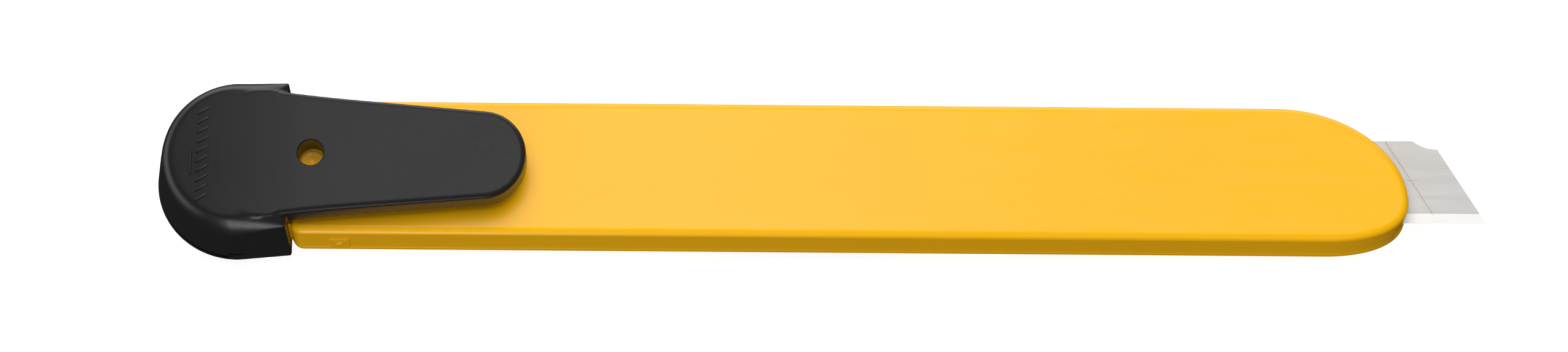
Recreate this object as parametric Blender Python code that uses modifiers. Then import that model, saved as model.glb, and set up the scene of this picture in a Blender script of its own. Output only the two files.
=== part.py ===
"""A pocket utility knife with a 9 mm snap-off blade, as an assembly of separate pieces.

Run it with blender --background --python part.py, or from Blender's text editor.

The design frame has x from the rear of the end cap towards the blade's tip, y across the handle
with the cutting edge on -y, and z = 0 on the handle's back face with the pocket clip on +z.
One empty, knife, carries everything from the design frame to the part's frame, whose origin is at
the bottom centre of the whole knife as it lies on its thumb button.
"""

import math
from dataclasses import dataclass

import bmesh
import bpy
from mathutils import Matrix, Vector

MM = 0.001

# Overall
KNIFE_LENGTH = 140.0 * MM  # cap's rear to blade's tip, one and a half segments out
NOSE_X = 131.7 * MM  # foremost point of the handle

# Handle: a deep back shell closed by a thin front cover
HANDLE_WIDTH = 14.6 * MM
HANDLE_DEPTH = 6.6 * MM
HANDLE_REAR_X = 14.25 * MM  # shoulder that meets the end cap
COVER_DEPTH = 1.2 * MM  # front cover and half of the parting gap
PARTING_GAP = 0.1 * MM
BACK_EDGE_RADIUS = 0.85 * MM
FRONT_EDGE_RADIUS = 0.5 * MM
PARTING_CHAMFER = 0.15 * MM
REAR_CORNER_RADIUS = 1.2 * MM
NOSE_TIP_Y = -3.0 * MM  # where the foremost point lies
NOSE_UPPER_LENGTH = 14.0 * MM
NOSE_LOWER_LENGTH = 8.5 * MM

# Tenon: the narrower rear end of the handle, which the end cap slips over
TENON_REAR_X = 6.0 * MM
TENON_WIDTH = 12.8 * MM
TENON_TOP_Z = -0.7 * MM
TENON_BOTTOM_Z = -6.1 * MM
TENON_CORNER_RADIUS = 1.3 * MM

# Inside of the back shell
CAVITY_WIDTH = 10.9 * MM
CAVITY_TOP_Z = -2.0 * MM
BACK_WALL = 1.3 * MM
CORE_COUNT = 8  # lightening pockets under the blade guide
CORE_FIRST_X = 18.0 * MM
CORE_PITCH = 13.0 * MM
CORE_LENGTH = 11.5 * MM
CORE_WIDTH = 8.6 * MM

# Boss under the clip's hole, and the moulding pad on the near wall
BOSS_X = 16.6 * MM
BOSS_RADIUS = 1.5 * MM
BOSS_HEIGHT = 1.3 * MM
PAD_X = 19.35 * MM
PAD_Z = -3.8 * MM
PAD_LENGTH = 2.1 * MM
PAD_HEIGHT = 2.8 * MM
PAD_RISE = 0.12 * MM
NUB_RADIUS = 0.4 * MM
NUB_RISE = 0.28 * MM

# Front cover's slot for the slider
SLOT_WIDTH = 6.0 * MM
SLOT_FRONT_X = 113.5 * MM
SLOT_CORNER_RADIUS = 1.0 * MM

# Blade guide: a folded steel channel
SHEET = 0.4 * MM
GUIDE_WIDTH = 10.4 * MM
GUIDE_TOP_Z = -2.3 * MM
GUIDE_BOTTOM_Z = -5.3 * MM
GUIDE_LIP_GAP = 6.4 * MM
GUIDE_BEND = 0.5 * MM
GUIDE_REAR_X = 6.3 * MM
GUIDE_SETBACK = 0.8 * MM  # how far the guide stops inside the nose
NOTCH_PITCH = 5.0 * MM  # one blade segment for each click
NOTCH_FIRST_X = 20.0 * MM  # middle of the rearmost notch
NOTCH_COUNT = 19
NOTCH_LENGTH = 1.4 * MM
NOTCH_DEPTH = 0.9 * MM

# Blade
BLADE_WIDTH = 9.0 * MM
BLADE_THICKNESS = 0.38 * MM
BLADE_LENGTH = 80.0 * MM
BLADE_Z = -3.05 * MM
BLADE_ANGLE = math.radians(58.5)  # of the tip and of the score lines, from the cutting edge
BLADE_BEVEL = 1.05 * MM
SEGMENT = 5.0 * MM
SCORE_COUNT = 12
SCORE_WIDTH = 0.26 * MM
SCORE_DEPTH = 0.09 * MM
TIP_NOTCH_LENGTH = 2.6 * MM
TIP_NOTCH_DEPTH = 0.87 * MM
TAIL_HOLE_RADIUS = 1.2 * MM
TAIL_HOLE_X = 63.6 * MM

# Slider: carrier and its stud, lock spring, lock plate and thumb button
SLIDER_X = 70.0 * MM  # middle of the slider with the blade as drawn
CARRIER_LENGTH = 18.0 * MM
CARRIER_WIDTH = 9.0 * MM
CARRIER_Z = -3.5 * MM  # middle of its sheet
CARRIER_TAB_Z = -4.7 * MM  # how far its bent ends reach
CARRIER_BEND = 0.4 * MM
STUD_RADIUS = 0.9 * MM
STUD_TOP_Z = -2.9 * MM
STUD_HEAD_RADIUS = 1.4 * MM
STUD_HEAD_DEPTH = 0.15 * MM
STUD_CLEARANCE = 0.05 * MM
SPRING_SHEET = 0.15 * MM
SPRING_LENGTH = 9.4 * MM
SPRING_WIDTH = 4.0 * MM
SPRING_END_Z = -3.83 * MM
SPRING_CROWN_Z = -4.13 * MM
LOCK_LENGTH = 16.8 * MM
LOCK_WIDTH = 5.8 * MM
LOCK_TOP_Z = -4.4 * MM
LOCK_LUG_LENGTH = 1.1 * MM
LOCK_LUG_WIDTH = 8.2 * MM  # across each pair of lugs
STEM_LENGTH = 6.0 * MM
STEM_WIDTH = 5.2 * MM
STEM_TOP_Z = -4.9 * MM
STAKE_LENGTH = 3.0 * MM  # neck of the stem, melted over the lock plate
STAKE_WIDTH = 2.4 * MM
STAKE_HEAD_Z = -4.25 * MM
STAKE_HEAD_OVERHANG = 0.5 * MM
STAKE_CLEARANCE = 0.05 * MM
BUTTON_LENGTH = 20.0 * MM
BUTTON_WIDTH = 9.0 * MM
BUTTON_INNER_Z = -7.2 * MM
BUTTON_HEIGHT = 2.0 * MM
BUTTON_CORNER_RADIUS = 2.6 * MM
BUTTON_EDGE_RADIUS = 0.6 * MM
GROOVE_COUNT = 7
GROOVE_PITCH = 2.2 * MM
GROOVE_WIDTH = 1.1 * MM
GROOVE_DEPTH = 0.55 * MM

# End cap: a round head that continues as the pocket clip
HEAD_RADIUS = 8.4 * MM
HEAD_FRONT_X = 14.1 * MM
HEAD_FRONT_WIDTH = 15.7 * MM
HEAD_TOP_Z = 4.7 * MM
HEAD_BOTTOM_Z = -7.15 * MM
HEAD_SHOULDER = 2.5 * MM
HEAD_BOTTOM_EDGE = 0.3 * MM
HEAD_OVERRUN = 4.0 * MM  # the block is made this much too long and cut off square
SOCKET_REAR_X = 5.7 * MM
SOCKET_CLEARANCE = 0.2 * MM
CLIP_BOTTOM_Z = 1.5 * MM
CLIP_ROOT_X = 3.6 * MM
CLIP_TIP_X = 38.9 * MM
CLIP_ROOT_WIDTH = 15.0 * MM
CLIP_ROOT_LENGTH = 7.0 * MM  # of the round that fades into the head's top
CLIP_TIP_WIDTH = 8.8 * MM
CLIP_END_LENGTH = 4.2 * MM
CLIP_TOP_EDGE = 0.5 * MM
CLIP_BOTTOM_EDGE = 0.3 * MM
CLIP_HOLE_RADIUS = 1.36 * MM
SNAP_SLIT_TOP_Z = -5.65 * MM
SNAP_SLIT_BOTTOM_Z = -6.25 * MM
SNAP_SLIT_INNER = 6.45 * MM  # from the head's centre to the slit's straight inner wall

# Fineness and tolerances
ARC_STEPS = 10
RIM_STEPS = 4
ROUND_STEPS = 32
OVERSHOOT = 1.0 * MM  # how far a cutter stands out of what it cuts
TOUCH = 0.001 * MM

# Derived heights and places
PARTING_Z = COVER_DEPTH - HANDLE_DEPTH
BUTTON_OUTER_Z = BUTTON_INNER_Z - BUTTON_HEIGHT
BLADE_REAR_X = KNIFE_LENGTH - BLADE_LENGTH
HALF_HANDLE = HANDLE_WIDTH / 2
HALF_BLADE = BLADE_WIDTH / 2


@dataclass
class Corner:
    """A corner of a flat outline. before and after are the lengths of straight side that its round
    takes up, and pulls are how far the round's two handles reach towards the corner, as shares."""

    x: float
    y: float
    before: float = 0.0
    after: float = 0.0
    pulls: tuple = None


# ---------------------------------------------------------------- scene and materials


def clear_scene():
    for thing in list(bpy.data.objects):
        bpy.data.objects.remove(thing, do_unlink=True)


def new_collection(name):
    collection = bpy.data.collections.new(name)
    bpy.context.scene.collection.children.link(collection)
    return collection


def plastic(name, colour, roughness):
    return principled(name, colour, roughness, 0.0)


def steel(name, colour, roughness):
    return principled(name, colour, roughness, 1.0)


def principled(name, colour, roughness, metallic):
    material = bpy.data.materials.new(name)
    material.use_nodes = True
    shader = material.node_tree.nodes["Principled BSDF"]
    shader.inputs["Base Color"].default_value = (*colour, 1.0)
    shader.inputs["Roughness"].default_value = roughness
    shader.inputs["Metallic"].default_value = metallic
    material.diffuse_color = (*colour, 1.0)
    return material


# ---------------------------------------------------------------- modelling tools


def empty_at(name, location, parent=None):
    empty = bpy.data.objects.new(name, None)
    empty.location = location
    empty.parent = parent
    bpy.context.scene.collection.objects.link(empty)
    return empty


def add_object(name, mesh, collection, parent):
    """Links a mesh drawn in the design frame, with the object's own origin on its parent's."""
    thing = bpy.data.objects.new(name, mesh)
    thing.parent = parent
    collection.objects.link(thing)
    mesh.transform(Matrix.Translation(-design_place(parent)))
    return thing


def design_place(empty):
    """Where an empty sits in the design frame."""
    place = Vector((0.0, 0.0, 0.0))
    while empty.parent:
        place += empty.location
        empty = empty.parent
    return place


def as_cutter(thing):
    thing.hide_render = True
    thing.display_type = "WIRE"
    return thing


def solid_of_boxes(name, boxes, collection, parent):
    """One mesh of separate boxes, each (low corner, high corner)."""
    shape = bmesh.new()
    for low, high in boxes:
        low, high = Vector(low), Vector(high)
        place = Matrix.LocRotScale((low + high) / 2, None, high - low)
        bmesh.ops.create_cube(shape, size=1.0, matrix=place)
    mesh = bpy.data.meshes.new(name)
    shape.to_mesh(mesh)
    shape.free()
    return add_object(name, mesh, collection, parent)


def cylinder(name, radius, middle, depth, collection, parent, turn=None):
    """A round bar along z, or along the direction that turn gives it."""
    shape = bmesh.new()
    bmesh.ops.create_cone(
        shape,
        cap_ends=True,
        segments=ROUND_STEPS,
        radius1=radius,
        radius2=radius,
        depth=depth,
        matrix=Matrix.LocRotScale(Vector(middle), turn, None),
    )
    mesh = bpy.data.meshes.new(name)
    shape.to_mesh(mesh)
    shape.free()
    thing = add_object(name, mesh, collection, parent)
    mesh.shade_smooth()
    mesh.set_sharp_from_angle(angle=math.radians(35))
    return thing


def round_knots(corners, closed):
    """Turns corners into Bezier knots, each (point, left handle, right handle)."""
    knots = []
    last = len(corners) - 1
    for i, corner in enumerate(corners):
        point = Vector((corner.x, corner.y, 0.0))
        if corner.before == 0.0 or (not closed and i in (0, last)):
            knots.append((point, point, point))
            continue
        to_previous = Vector((corners[i - 1].x, corners[i - 1].y, 0.0)) - point
        following = corners[(i + 1) % len(corners)]
        to_next = Vector((following.x, following.y, 0.0)) - point
        turning = math.pi - to_previous.angle(to_next)
        circular = 4 / 3 * math.tan(turning / 4) / math.tan(turning / 2)
        pulls = corner.pulls or (circular, circular)
        start = point + to_previous.normalized() * corner.before
        end = point + to_next.normalized() * corner.after
        knots.append((start, start, start.lerp(point, pulls[0])))
        knots.append((end, end.lerp(point, pulls[1]), end))
    return knots


def outline_curve(name, corners, depth, closed, steps):
    curve = bpy.data.curves.new(name, "CURVE")
    curve.dimensions = "2D"
    curve.fill_mode = "BOTH" if closed else "NONE"
    curve.extrude = depth / 2
    curve.resolution_u = steps
    knots = round_knots(corners, closed)
    spline = curve.splines.new("BEZIER")
    spline.use_cyclic_u = closed
    spline.bezier_points.add(len(knots) - 1)
    for made, (point, left, right) in zip(spline.bezier_points, knots):
        made.handle_left_type = "FREE"
        made.handle_right_type = "FREE"
        made.co = point
        made.handle_left = left
        made.handle_right = right
    return curve


def curve_to_mesh(name, curve):
    """The curve's evaluated mesh, with its caps welded on and its flat parts made single faces."""
    drawn = bpy.data.objects.new(name, curve)
    bpy.context.scene.collection.objects.link(drawn)
    seen = drawn.evaluated_get(bpy.context.evaluated_depsgraph_get())
    mesh = bpy.data.meshes.new_from_object(seen)
    mesh.name = name
    bpy.data.objects.remove(drawn)
    shape = bmesh.new()
    shape.from_mesh(mesh)
    bmesh.ops.remove_doubles(shape, verts=shape.verts, dist=TOUCH)
    bmesh.ops.dissolve_limit(
        shape, angle_limit=math.radians(0.2), verts=shape.verts, edges=shape.edges
    )
    shape.to_mesh(mesh)
    shape.free()
    return mesh


def flat_outline(name, corners, low, high, collection, parent, steps=ARC_STEPS):
    """A flat plate with this outline, seen from +z, from height low to height high."""
    mesh = curve_to_mesh(name, outline_curve(name, corners, high - low, True, steps))
    mesh.transform(Matrix.Translation((0.0, 0.0, (low + high) / 2)))
    return add_object(name, mesh, collection, parent)


ACROSS = Matrix.Rotation(math.pi / 2, 4, "X")  # a profile in x and z, swept along y
ALONG = Matrix.Rotation(math.pi / 2, 4, "Z") @ ACROSS  # a profile in y and z, swept along x


def swept_profile(name, corners, middle, depth, way, collection, parent, closed=True, steps=6):
    """A profile swept to this depth, with its middle at this point and its sweep set by way."""
    mesh = curve_to_mesh(name, outline_curve(name, corners, depth, closed, steps))
    mesh.transform(Matrix.Translation(middle) @ way)
    return add_object(name, mesh, collection, parent)


def thicken(thing, thickness):
    solidify = thing.modifiers.new("sheet", "SOLIDIFY")
    solidify.thickness = thickness
    solidify.offset = 0.0
    solidify.use_even_offset = True


def round_rims(thing, radii, parent, steps=RIM_STEPS):
    """Rounds the edges that lie in a plane of constant height. radii gives each height its radius."""
    mesh = thing.data
    widest = max(radii.values())
    weights = mesh.attributes.new("bevel_weight_edge", "FLOAT", "EDGE")
    offset = design_place(parent).z
    for edge in mesh.edges:
        heights = [mesh.vertices[i].co.z + offset for i in edge.vertices]
        for height, radius in radii.items():
            if all(abs(h - height) < TOUCH for h in heights):
                weights.data[edge.index].value = radius / widest
    bevel = thing.modifiers.new("rims", "BEVEL")
    bevel.limit_method = "WEIGHT"
    bevel.width = widest
    bevel.segments = steps
    bevel.use_clamp_overlap = True


def combine(thing, other, operation):
    boolean = thing.modifiers.new(other.name, "BOOLEAN")
    boolean.operation = operation
    boolean.solver = "EXACT"
    boolean.object = as_cutter(other)


def cut(thing, cutter):
    combine(thing, cutter, "DIFFERENCE")


def join(thing, addition):
    combine(thing, addition, "UNION")


def keep_inside(thing, limit):
    combine(thing, limit, "INTERSECT")


# ---------------------------------------------------------------- outlines


def handle_outline(inset=0.0):
    """The handle seen from its back: square shoulders at the rear and a lopsided round nose."""
    side = HALF_HANDLE - inset
    tip = NOSE_X - inset
    rear = HANDLE_REAR_X + inset
    corner = REAR_CORNER_RADIUS
    lower_pulls = (0.47, 0.75)
    upper_pulls = (0.50, 0.57)
    return [
        Corner(rear, -side, corner, corner),
        Corner(tip, -side, NOSE_LOWER_LENGTH - inset, NOSE_TIP_Y + side, lower_pulls),
        Corner(tip, side, side - NOSE_TIP_Y, NOSE_UPPER_LENGTH - inset, upper_pulls),
        Corner(rear, side, corner, corner),
    ]


def tenon_outline(clearance=0.0, rear=TENON_REAR_X, front=HANDLE_REAR_X + OVERSHOOT):
    side = TENON_WIDTH / 2 + clearance
    corner = TENON_CORNER_RADIUS
    return [
        Corner(rear, -side, corner, corner),
        Corner(front, -side),
        Corner(front, side),
        Corner(rear, side, corner, corner),
    ]


def head_outline():
    """A half circle at the rear, then sides that draw in a little towards the front."""
    front = HEAD_FRONT_X + HEAD_OVERRUN
    draw_in = (HEAD_RADIUS - HEAD_FRONT_WIDTH / 2) / (HEAD_FRONT_X - HEAD_RADIUS)
    front_side = HEAD_RADIUS - draw_in * (front - HEAD_RADIUS)
    return [
        Corner(0.0, -HEAD_RADIUS, HEAD_RADIUS, HEAD_RADIUS),
        Corner(HEAD_RADIUS, -HEAD_RADIUS),
        Corner(front, -front_side),
        Corner(front, front_side),
        Corner(HEAD_RADIUS, HEAD_RADIUS),
        Corner(0.0, HEAD_RADIUS, HEAD_RADIUS, HEAD_RADIUS),
    ]


def clip_outline():
    """The clip's tapered tongue, round at its end and where it fades into the head."""
    root, tip = CLIP_ROOT_WIDTH / 2, CLIP_TIP_WIDTH / 2
    return [
        Corner(CLIP_ROOT_X, -root, root, CLIP_ROOT_LENGTH),
        Corner(CLIP_TIP_X, -tip, CLIP_END_LENGTH, tip),
        Corner(CLIP_TIP_X, tip, tip, CLIP_END_LENGTH),
        Corner(CLIP_ROOT_X, root, CLIP_ROOT_LENGTH, root),
    ]


def blade_outline():
    """The blade's outline: slanted ends, and the notch that the last snap left at the tip."""
    lean = 1 / math.tan(BLADE_ANGLE)
    notch_start = KNIFE_LENGTH - (BLADE_WIDTH - TIP_NOTCH_DEPTH) * lean
    notch_y = HALF_BLADE - TIP_NOTCH_DEPTH
    bend = TIP_NOTCH_LENGTH / 2
    return [
        Corner(BLADE_REAR_X + BLADE_WIDTH * lean, -HALF_BLADE),
        Corner(KNIFE_LENGTH, -HALF_BLADE),
        Corner(notch_start, notch_y),
        Corner(notch_start - bend, notch_y, bend / 2, bend / 2),
        Corner(notch_start - TIP_NOTCH_LENGTH, HALF_BLADE),
        Corner(BLADE_REAR_X, HALF_BLADE),
    ]


# ---------------------------------------------------------------- handle


def back_shell(parts, cutters, knife):
    """The deep tray that carries the back face, the side walls, the boss and half of the tenon."""
    shell = flat_outline("back_shell", handle_outline(), PARTING_Z, 0.0, parts, knife)
    round_rims(shell, {0.0: BACK_EDGE_RADIUS, PARTING_Z: PARTING_CHAMFER}, knife)
    join(
        shell,
        flat_outline(
            "shell_tenon", tenon_outline(), PARTING_Z, TENON_TOP_Z, cutters, knife
        ),
    )
    cut(shell, shell_cavity(cutters, knife))
    cut(shell, shell_cores(cutters, knife))
    boss_middle = (BOSS_X, 0.0, (BOSS_HEIGHT - OVERSHOOT) / 2)
    boss = cylinder(
        "shell_boss", BOSS_RADIUS, boss_middle, BOSS_HEIGHT + OVERSHOOT, cutters, knife
    )
    join(shell, boss)
    join(shell, moulding_pad(cutters, knife))
    nub = cylinder(
        "moulding_nub",
        NUB_RADIUS,
        (PAD_X, -HALF_HANDLE - (NUB_RISE - OVERSHOOT) / 2, PAD_Z),
        NUB_RISE + OVERSHOOT,
        cutters,
        knife,
        ACROSS.to_quaternion(),
    )
    join(shell, nub)
    return shell


def shell_cavity(cutters, knife):
    low = (TENON_REAR_X - OVERSHOOT, -CAVITY_WIDTH / 2, PARTING_Z - OVERSHOOT)
    high = (NOSE_X + OVERSHOOT, CAVITY_WIDTH / 2, CAVITY_TOP_Z)
    return solid_of_boxes("shell_cavity", [(low, high)], cutters, knife)


def shell_cores(cutters, knife):
    """Pockets that leave an even back wall, with a rib between each two for the guide to sit on."""
    boxes = []
    for i in range(CORE_COUNT):
        start = CORE_FIRST_X + i * CORE_PITCH
        low = (start, -CORE_WIDTH / 2, CAVITY_TOP_Z - OVERSHOOT)
        boxes.append((low, (start + CORE_LENGTH, CORE_WIDTH / 2, -BACK_WALL)))
    return solid_of_boxes("shell_cores", boxes, cutters, knife)


def moulding_pad(cutters, knife):
    low = (PAD_X - PAD_LENGTH / 2, -HALF_HANDLE - PAD_RISE, PAD_Z - PAD_HEIGHT / 2)
    high = (PAD_X + PAD_LENGTH / 2, OVERSHOOT - HALF_HANDLE, PAD_Z + PAD_HEIGHT / 2)
    return solid_of_boxes("moulding_pad", [(low, high)], cutters, knife)


def front_cover(parts, cutters, knife):
    """The thin plate that closes the handle and carries the slider's slot."""
    top = PARTING_Z - PARTING_GAP
    cover = flat_outline("front_cover", handle_outline(), -HANDLE_DEPTH, top, parts, knife)
    round_rims(cover, {-HANDLE_DEPTH: FRONT_EDGE_RADIUS, top: PARTING_CHAMFER}, knife)
    tenon = flat_outline("cover_tenon", tenon_outline(), TENON_BOTTOM_Z, top, cutters, knife)
    join(cover, tenon)
    half = SLOT_WIDTH / 2
    rear = TENON_REAR_X - OVERSHOOT
    corner = SLOT_CORNER_RADIUS
    slot = [
        Corner(rear, -half),
        Corner(SLOT_FRONT_X, -half, corner, corner),
        Corner(SLOT_FRONT_X, half, corner, corner),
        Corner(rear, half),
    ]
    low, high = -HANDLE_DEPTH - OVERSHOOT, top + OVERSHOOT
    cut(cover, flat_outline("slider_slot", slot, low, high, cutters, knife))
    return cover


def blade_guide(parts, cutters, knife):
    """A steel strip folded into a channel, whose lips hold the slider and carry the click notches."""
    side = (GUIDE_WIDTH - SHEET) / 2
    web, lip = GUIDE_TOP_Z - SHEET / 2, GUIDE_BOTTOM_Z + SHEET / 2
    bend = GUIDE_BEND
    profile = [
        Corner(-GUIDE_LIP_GAP / 2, lip),
        Corner(-side, lip, bend, bend),
        Corner(-side, web, bend, bend),
        Corner(side, web, bend, bend),
        Corner(side, lip, bend, bend),
        Corner(GUIDE_LIP_GAP / 2, lip),
    ]
    length = NOSE_X - GUIDE_REAR_X
    middle = (GUIDE_REAR_X + length / 2, 0.0, 0.0)
    guide = swept_profile(
        "blade_guide", profile, middle, length, ALONG, parts, knife, closed=False, steps=3
    )
    thicken(guide, SHEET)
    cut(guide, guide_notches(cutters, knife))
    nose = handle_outline(inset=GUIDE_SETBACK)
    nose[0].x = nose[3].x = 0.0
    limit = flat_outline(
        "guide_nose", nose, GUIDE_BOTTOM_Z - OVERSHOOT, GUIDE_TOP_Z + OVERSHOOT, cutters, knife
    )
    keep_inside(guide, limit)
    return guide


def guide_notches(cutters, knife):
    """Rows of notches in both lips, open to the gap between them."""
    boxes = []
    lip_edge = GUIDE_LIP_GAP / 2
    low_z = GUIDE_BOTTOM_Z - OVERSHOOT
    high_z = GUIDE_BOTTOM_Z + SHEET + OVERSHOOT
    for i in range(NOTCH_COUNT):
        start = NOTCH_FIRST_X + i * NOTCH_PITCH - NOTCH_LENGTH / 2
        end = start + NOTCH_LENGTH
        inner, outer = lip_edge - OVERSHOOT, lip_edge + NOTCH_DEPTH
        boxes.append(((start, inner, low_z), (end, outer, high_z)))
        boxes.append(((start, -outer, low_z), (end, -inner, high_z)))
    return solid_of_boxes("guide_notches", boxes, cutters, knife)


# ---------------------------------------------------------------- blade and slider


def blade(parts, cutters, knife, slider):
    """The scored strip: a flat bar with a ground edge, trimmed to its outline."""
    half = BLADE_THICKNESS / 2
    section = [
        Corner(-HALF_BLADE, BLADE_Z),
        Corner(-HALF_BLADE + BLADE_BEVEL, BLADE_Z - half),
        Corner(HALF_BLADE + OVERSHOOT, BLADE_Z - half),
        Corner(HALF_BLADE + OVERSHOOT, BLADE_Z + half),
        Corner(-HALF_BLADE + BLADE_BEVEL, BLADE_Z + half),
    ]
    reach = BLADE_LENGTH + 2 * OVERSHOOT
    middle = (KNIFE_LENGTH - BLADE_LENGTH / 2, 0.0, 0.0)
    strip = swept_profile("blade", section, middle, reach, ALONG, parts, slider)
    low, high = BLADE_Z - OVERSHOOT, BLADE_Z + OVERSHOOT
    keep_inside(strip, flat_outline("blade_ends", blade_outline(), low, high, cutters, knife))
    cut(strip, score_lines(cutters, knife))
    hole_middle = (TAIL_HOLE_X, 0.0, BLADE_Z)
    cut(
        strip,
        cylinder("tail_hole", TAIL_HOLE_RADIUS, hole_middle, OVERSHOOT, cutters, knife),
    )
    return strip


def score_lines(cutters, knife):
    """Square-section bars on edge, half sunk in both faces, parallel to the blade's slanted tip."""
    shape = bmesh.new()
    lean = 1 / math.tan(BLADE_ANGLE)
    length = (BLADE_WIDTH + 2 * OVERSHOOT) / math.sin(BLADE_ANGLE)
    turn = Matrix.Rotation(math.pi - BLADE_ANGLE, 4, "Z")
    on_edge = Matrix.Rotation(math.pi / 4, 4, "X")
    side = SCORE_WIDTH / math.sqrt(2)
    rise = BLADE_THICKNESS / 2 - SCORE_DEPTH + SCORE_WIDTH / 2
    for i in range(SCORE_COUNT):
        x = KNIFE_LENGTH - HALF_BLADE * lean - (i + 1) * SEGMENT
        for face in (-1, 1):
            place = Matrix.Translation((x, 0.0, BLADE_Z + face * rise))
            size = Matrix.Diagonal((length, side, side, 1.0))
            bmesh.ops.create_cube(shape, size=1.0, matrix=place @ turn @ on_edge @ size)
    mesh = bpy.data.meshes.new("score_lines")
    shape.to_mesh(mesh)
    shape.free()
    return add_object("score_lines", mesh, cutters, knife)


def blade_carrier(parts, cutters, knife, slider):
    """The steel slide that pushes the blade by its stud and the lock plate by its bent ends."""
    rear, front = SLIDER_X - CARRIER_LENGTH / 2, SLIDER_X + CARRIER_LENGTH / 2
    profile = [
        Corner(rear, CARRIER_TAB_Z),
        Corner(rear, CARRIER_Z, CARRIER_BEND, CARRIER_BEND),
        Corner(front, CARRIER_Z, CARRIER_BEND, CARRIER_BEND),
        Corner(front, CARRIER_TAB_Z),
    ]
    carrier = swept_profile(
        "blade_carrier",
        profile,
        (0.0, 0.0, 0.0),
        CARRIER_WIDTH,
        ACROSS,
        parts,
        slider,
        closed=False,
        steps=3,
    )
    thicken(carrier, SHEET)
    hole_middle = (TAIL_HOLE_X, 0.0, CARRIER_Z)
    hole_radius = STUD_RADIUS + STUD_CLEARANCE
    cut(carrier, cylinder("stud_hole", hole_radius, hole_middle, OVERSHOOT, cutters, knife))
    return carrier


def carrier_stud(parts, cutters, knife, slider):
    """The headed stud riveted through the carrier, whose end stands in the blade's tail hole."""
    head_top = CARRIER_Z - SHEET / 2 - STUD_CLEARANCE
    head_bottom = head_top - STUD_HEAD_DEPTH
    middle = (TAIL_HOLE_X, 0.0, (STUD_TOP_Z + head_bottom) / 2)
    shank = STUD_TOP_Z - head_bottom
    stud = cylinder("carrier_stud", STUD_RADIUS, middle, shank, parts, slider)
    head_middle = (TAIL_HOLE_X, 0.0, (head_top + head_bottom) / 2)
    depth = STUD_HEAD_DEPTH
    join(stud, cylinder("stud_head", STUD_HEAD_RADIUS, head_middle, depth, cutters, knife))
    return stud


def lock_spring(parts, slider):
    """A bowed leaf between the carrier and the button's stake, in one round sweep."""
    reach = SPRING_LENGTH / 2
    peak = 2 * SPRING_CROWN_Z - SPRING_END_Z
    side = math.hypot(reach, SPRING_END_Z - peak)
    profile = [
        Corner(SLIDER_X - reach, SPRING_END_Z),
        Corner(SLIDER_X, peak, side, side),
        Corner(SLIDER_X + reach, SPRING_END_Z),
    ]
    leaf = swept_profile(
        "lock_spring", profile, (0.0, 0.0, 0.0), SPRING_WIDTH, ACROSS, parts, slider, closed=False
    )
    thicken(leaf, SPRING_SHEET)
    return leaf


def centred_box(length, width, low, high):
    return (
        (SLIDER_X - length / 2, -width / 2, low),
        (SLIDER_X + length / 2, width / 2, high),
    )


def lock_plate(parts, cutters, knife, button):
    """The steel plate staked to the button's stem. Its lugs drop into the guide's notches."""
    bottom = LOCK_TOP_Z - SHEET
    plate_box = centred_box(LOCK_LENGTH, LOCK_WIDTH, bottom, LOCK_TOP_Z)
    plate = solid_of_boxes("lock_plate", [plate_box], parts, button)
    lugs = []
    for shift in (-NOTCH_PITCH, NOTCH_PITCH):
        low, high = centred_box(LOCK_LUG_LENGTH, LOCK_LUG_WIDTH, bottom, LOCK_TOP_Z)
        place = Vector((shift, 0.0, 0.0))
        lugs.append((Vector(low) + place, Vector(high) + place))
    join(plate, solid_of_boxes("lock_lugs", lugs, cutters, knife))
    gap = 2 * STAKE_CLEARANCE
    window = centred_box(
        STAKE_LENGTH + gap, STAKE_WIDTH + gap, bottom - OVERSHOOT, LOCK_TOP_Z + OVERSHOOT
    )
    cut(plate, solid_of_boxes("lock_window", [window], cutters, knife))
    return plate


def thumb_button(parts, cutters, knife, button):
    """The ribbed pad outside the slot, its stem through the slot and the stake in the lock plate."""
    half_length, half_width = BUTTON_LENGTH / 2, BUTTON_WIDTH / 2
    corner = BUTTON_CORNER_RADIUS
    outline = [
        Corner(SLIDER_X + x * half_length, y * half_width, corner, corner)
        for x, y in ((-1, -1), (1, -1), (1, 1), (-1, 1))
    ]
    pad = flat_outline(
        "thumb_button", outline, BUTTON_OUTER_Z, BUTTON_INNER_Z, parts, button, steps=5
    )
    round_rims(pad, {BUTTON_OUTER_Z: BUTTON_EDGE_RADIUS}, button)
    head_bottom = LOCK_TOP_Z + STAKE_CLEARANCE
    overhang = 2 * STAKE_HEAD_OVERHANG
    sunk = OVERSHOOT / 2
    levels = {
        "button_stem": (STEM_LENGTH, STEM_WIDTH, BUTTON_INNER_Z - sunk, STEM_TOP_Z),
        "button_stake": (STAKE_LENGTH, STAKE_WIDTH, STEM_TOP_Z - sunk, head_bottom + TOUCH),
        "stake_head": (
            STAKE_LENGTH + overhang,
            STAKE_WIDTH + overhang,
            head_bottom,
            STAKE_HEAD_Z,
        ),
    }
    for name, sizes in levels.items():
        join(pad, solid_of_boxes(name, [centred_box(*sizes)], cutters, knife))
    cut(pad, thumb_grooves(cutters, knife))
    return pad


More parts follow.
